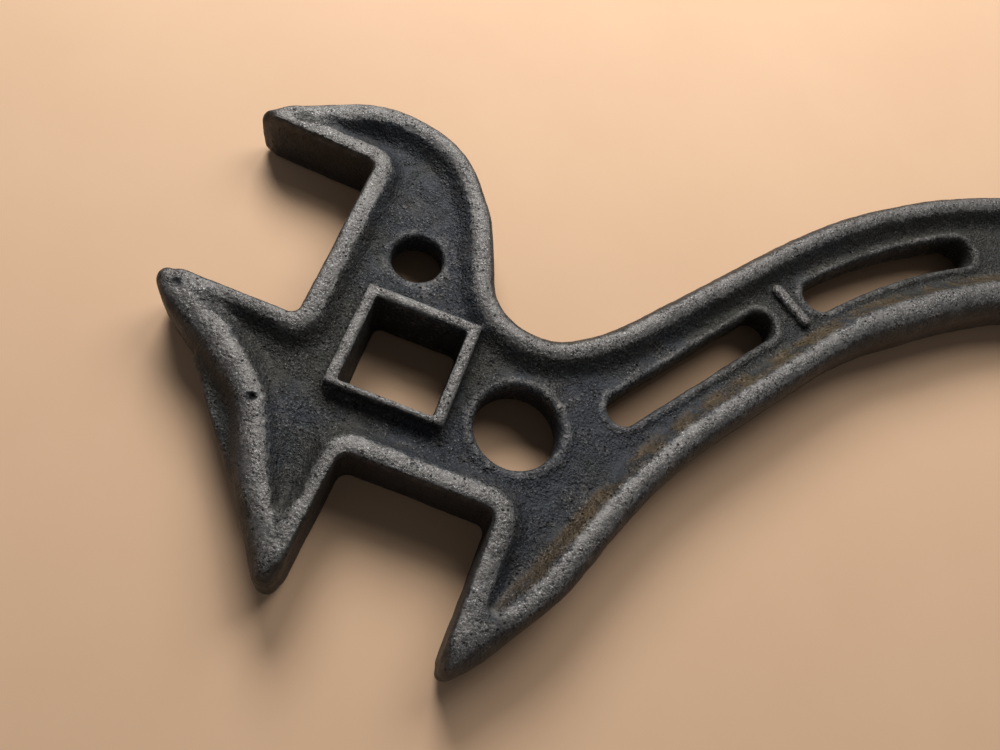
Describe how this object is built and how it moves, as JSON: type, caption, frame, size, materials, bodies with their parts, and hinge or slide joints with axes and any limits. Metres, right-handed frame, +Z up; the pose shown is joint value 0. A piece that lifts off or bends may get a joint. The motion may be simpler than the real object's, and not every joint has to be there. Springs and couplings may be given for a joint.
{
  "type": "hydrant wrench",
  "caption": "Flat cast-iron multi-wrench with two open jaws, a square socket, round holes and a curved, slotted handle.",
  "frame": {"origin": "centre of the square socket on the plane the casting rests on", "axes": "+Z up through the casting's thickness along the socket; +X along one socket side, pointing from the upper jaw's floor towards the handle; +Y along the other socket side, towards the hook; the handle leaves towards +X +Y"},
  "size_m": [0.2184, 0.1542, 0.013],
  "materials": {
    "cast_iron": "sand-cast, dark and worn, with lighter rubbed rims"
  },
  "bodies": {
    "root": {"wrench_casting": "cast_iron"}
  },
  "joints": []
}
